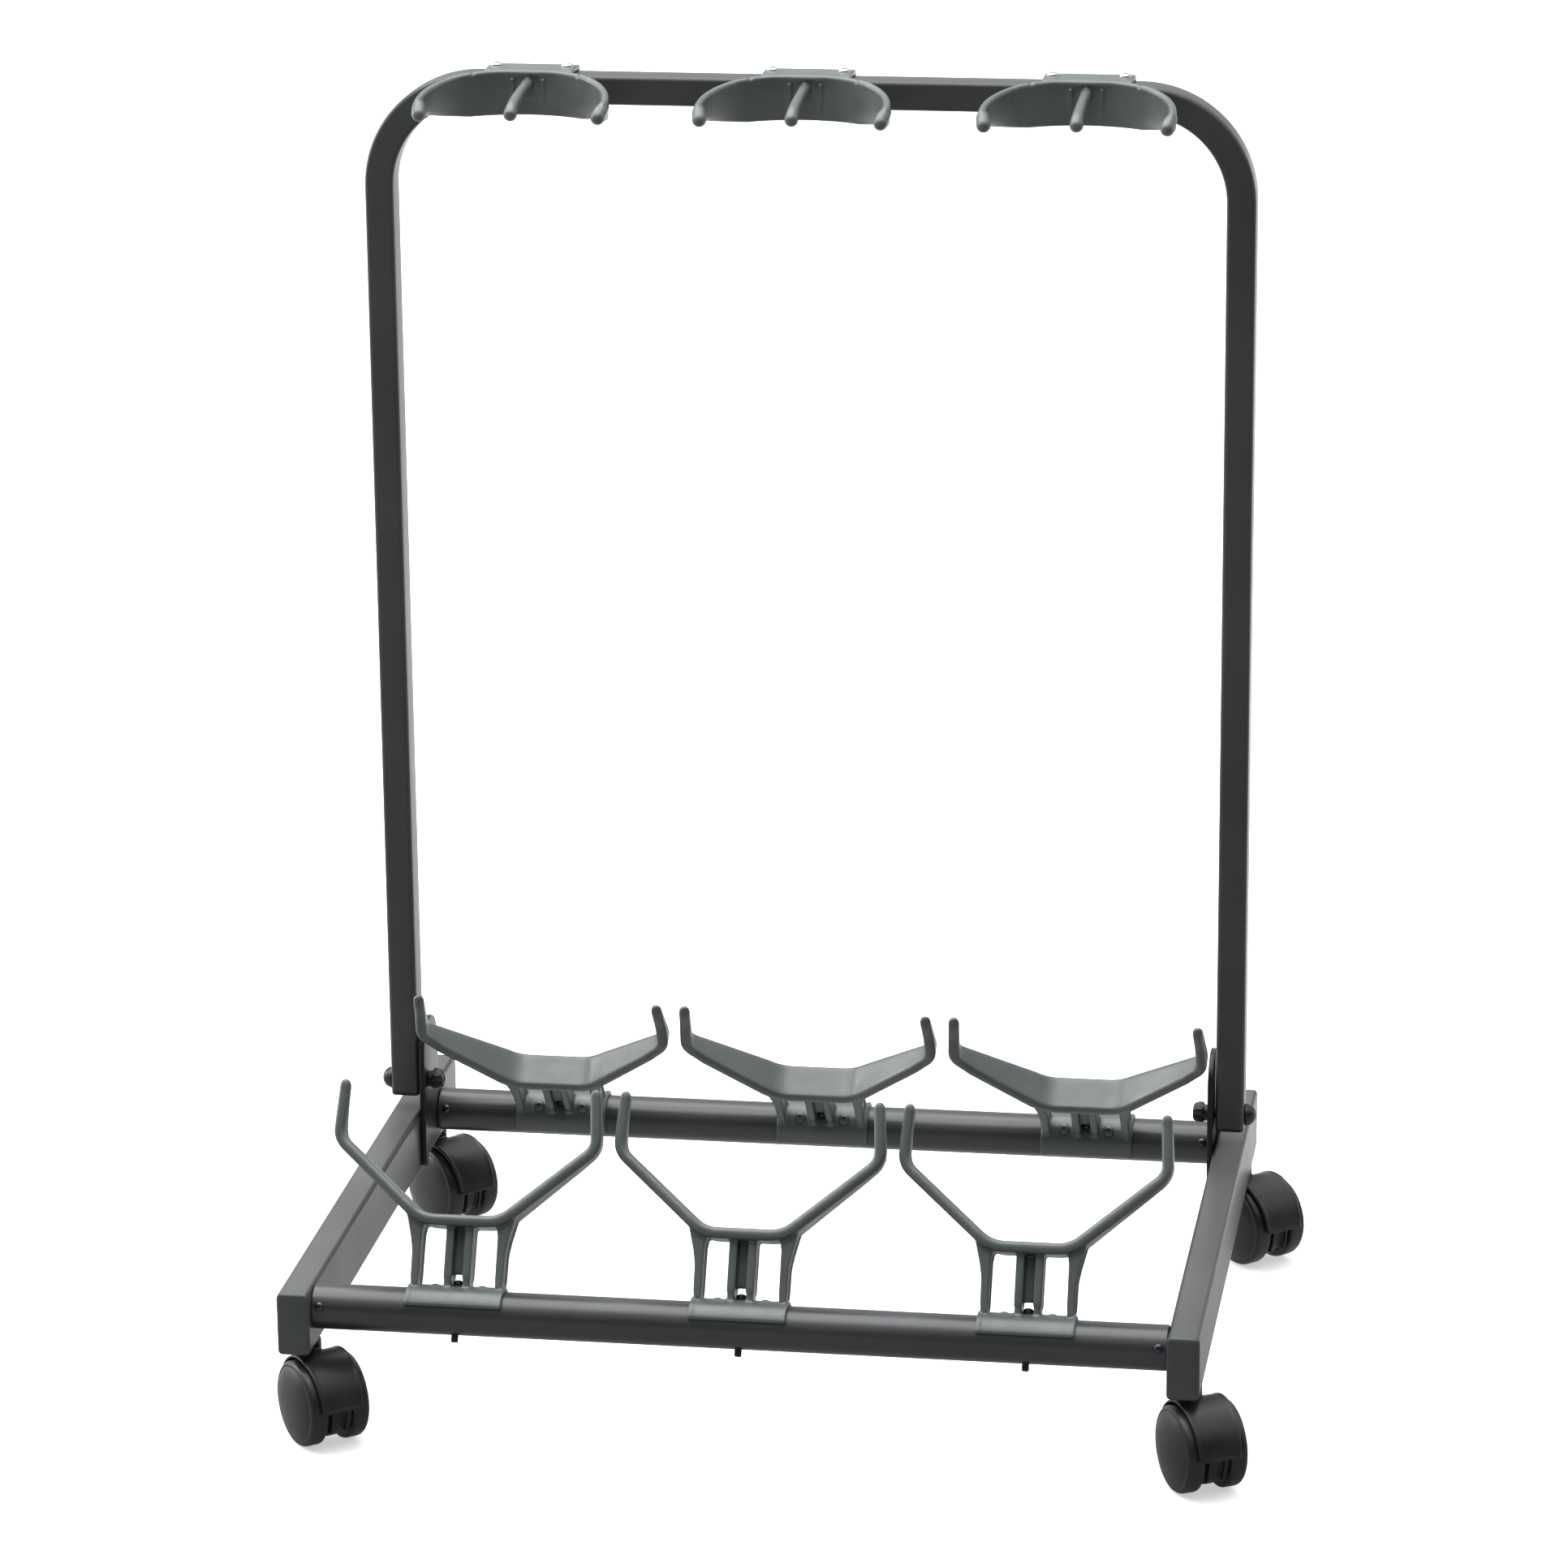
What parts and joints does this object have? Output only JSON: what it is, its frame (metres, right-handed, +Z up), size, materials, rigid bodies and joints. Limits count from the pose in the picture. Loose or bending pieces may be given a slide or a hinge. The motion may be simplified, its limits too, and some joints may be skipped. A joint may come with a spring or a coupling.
{
  "type": "guitar rack",
  "caption": "Rolling guitar rack with rectangular floor rails, round cross tubes, moulded body cradles, a folding U-shaped upright with neck holders, and twin-wheel swivel casters.",
  "frame": {"origin": "centre of the overall box in X and Y, on the floor under the casters", "axes": "+Z up, -Y towards the front where the necks and bodies are put in, +X across the rack to the viewer's right"},
  "size_m": [0.5678, 0.429, 0.7444],
  "materials": {
    "rail_enamel": "satin",
    "tube_enamel": "satin",
    "upright_enamel": "satin",
    "plate_enamel": "satin",
    "cradle_plastic": "matte",
    "cap_plastic": "matte",
    "black_plastic": "matte",
    "wheel_plastic": "satin",
    "fastener_steel": "polished"
  },
  "bodies": {
    "root": {"rail_left": "rail_enamel", "rail_right": "rail_enamel", "rail_cap_front_left": "cap_plastic", "rail_cap_rear_left": "cap_plastic", "rail_cap_front_right": "cap_plastic", "rail_cap_rear_right": "cap_plastic", "front_cross_tube": "tube_enamel", "rear_cross_tube": "tube_enamel", "cradle_front_left": "cradle_plastic", "cradle_bolt_front_left": "fastener_steel", "cradle_front_middle": "cradle_plastic", "cradle_bolt_front_middle": "fastener_steel", "cradle_front_right": "cradle_plastic", "cradle_bolt_front_right": "fastener_steel", "cradle_rear_left": "cradle_plastic", "cradle_bolt_rear_left": "fastener_steel", "cradle_rear_middle": "cradle_plastic", "cradle_bolt_rear_middle": "fastener_steel", "cradle_rear_right": "cradle_plastic", "cradle_bolt_rear_right": "fastener_steel", "hinge_plate_left": "plate_enamel", "hinge_plate_right": "plate_enamel", "pivot_bolt_left": "fastener_steel", "pivot_bolt_right": "fastener_steel", "caster_front_left_stem": "fastener_steel", "caster_front_right_stem": "fastener_steel", "caster_rear_left_stem": "fastener_steel", "caster_rear_right_stem": "fastener_steel"},
    "upright": {"upright_frame": "upright_enamel", "upright_foot_plug_left": "black_plastic", "upright_foot_plug_right": "black_plastic", "neck_holder_left": "cradle_plastic", "neck_holder_screw_left_a": "fastener_steel", "neck_holder_screw_left_b": "fastener_steel", "neck_holder_middle": "cradle_plastic", "neck_holder_screw_middle_a": "fastener_steel", "neck_holder_screw_middle_b": "fastener_steel", "neck_holder_right": "cradle_plastic", "neck_holder_screw_right_a": "fastener_steel", "neck_holder_screw_right_b": "fastener_steel"},
    "knob_left": {"clamp_knob_left": "black_plastic"},
    "knob_right": {"clamp_knob_right": "black_plastic"},
    "swivel_front_left": {"caster_front_left_hood": "black_plastic", "caster_front_left_axle": "fastener_steel"},
    "wheel_front_left_a": {"caster_front_left_wheel_a": "wheel_plastic"},
    "wheel_front_left_b": {"caster_front_left_wheel_b": "wheel_plastic"},
    "swivel_front_right": {"caster_front_right_hood": "black_plastic", "caster_front_right_axle": "fastener_steel"},
    "wheel_front_right_a": {"caster_front_right_wheel_a": "wheel_plastic"},
    "wheel_front_right_b": {"caster_front_right_wheel_b": "wheel_plastic"},
    "swivel_rear_left": {"caster_rear_left_hood": "black_plastic", "caster_rear_left_axle": "fastener_steel"},
    "wheel_rear_left_a": {"caster_rear_left_wheel_a": "wheel_plastic"},
    "wheel_rear_left_b": {"caster_rear_left_wheel_b": "wheel_plastic"},
    "swivel_rear_right": {"caster_rear_right_hood": "black_plastic", "caster_rear_right_axle": "fastener_steel"},
    "wheel_rear_right_a": {"caster_rear_right_wheel_a": "wheel_plastic"},
    "wheel_rear_right_b": {"caster_rear_right_wheel_b": "wheel_plastic"}
  },
  "joints": [
    {"name": "upright_fold", "type": "hinge", "parent": "root", "child": "upright", "pos_m": [-0.01325, 0.11857, 0.1125], "axis": [1, 0, 0], "range_deg": [0, 90], "stiffness_Nm_per_rad": 4},
    {"name": "knob_left_turn", "type": "hinge", "parent": "root", "child": "knob_left", "pos_m": [-0.25125, 0.11857, 0.1125], "axis": [1, 0, 0], "range_deg": [0, 720]},
    {"name": "knob_right_turn", "type": "hinge", "parent": "root", "child": "knob_right", "pos_m": [0.22475, 0.11857, 0.1125], "axis": [1, 0, 0], "range_deg": [0, 720]},
    {"name": "caster_front_left_swivel", "type": "hinge", "parent": "root", "child": "swivel_front_left", "pos_m": [-0.2665, -0.16453, 0.05], "axis": [0, 0, 1], "continuous": true},
    {"name": "caster_front_left_wheel_a_spin", "type": "hinge", "parent": "swivel_front_left", "child": "wheel_front_left_a", "pos_m": [-0.25407, -0.18045, 0.025], "axis": [0.788, 0.6157, 0], "continuous": true},
    {"name": "caster_front_left_wheel_b_spin", "type": "hinge", "parent": "swivel_front_left", "child": "wheel_front_left_b", "pos_m": [-0.25407, -0.18045, 0.025], "axis": [0.788, 0.6157, 0], "continuous": true},
    {"name": "caster_front_right_swivel", "type": "hinge", "parent": "root", "child": "swivel_front_right", "pos_m": [0.24, -0.16453, 0.05], "axis": [0, 0, 1], "continuous": true},
    {"name": "caster_front_right_wheel_a_spin", "type": "hinge", "parent": "swivel_front_right", "child": "wheel_front_right_a", "pos_m": [0.24963, -0.18229, 0.025], "axis": [0.8788, 0.4772, 0], "continuous": true},
    {"name": "caster_front_right_wheel_b_spin", "type": "hinge", "parent": "swivel_front_right", "child": "wheel_front_right_b", "pos_m": [0.24963, -0.18229, 0.025], "axis": [0.8788, 0.4772, 0], "continuous": true},
    {"name": "caster_rear_left_swivel", "type": "hinge", "parent": "root", "child": "swivel_rear_left", "pos_m": [-0.2665, 0.18597, 0.05], "axis": [0, 0, 1], "continuous": true},
    {"name": "caster_rear_left_wheel_a_spin", "type": "hinge", "parent": "swivel_rear_left", "child": "wheel_rear_left_a", "pos_m": [-0.25185, 0.17206, 0.025], "axis": [0.6884, 0.7254, 0], "continuous": true},
    {"name": "caster_rear_left_wheel_b_spin", "type": "hinge", "parent": "swivel_rear_left", "child": "wheel_rear_left_b", "pos_m": [-0.25185, 0.17206, 0.025], "axis": [0.6884, 0.7254, 0], "continuous": true},
    {"name": "caster_rear_right_swivel", "type": "hinge", "parent": "root", "child": "swivel_rear_right", "pos_m": [0.24, 0.18597, 0.05], "axis": [0, 0, 1], "continuous": true},
    {"name": "caster_rear_right_wheel_a_spin", "type": "hinge", "parent": "swivel_rear_right", "child": "wheel_rear_right_a", "pos_m": [0.25338, 0.17084, 0.025], "axis": [0.749, 0.6626, 0], "continuous": true},
    {"name": "caster_rear_right_wheel_b_spin", "type": "hinge", "parent": "swivel_rear_right", "child": "wheel_rear_right_b", "pos_m": [0.25338, 0.17084, 0.025], "axis": [0.749, 0.6626, 0], "continuous": true}
  ]
}
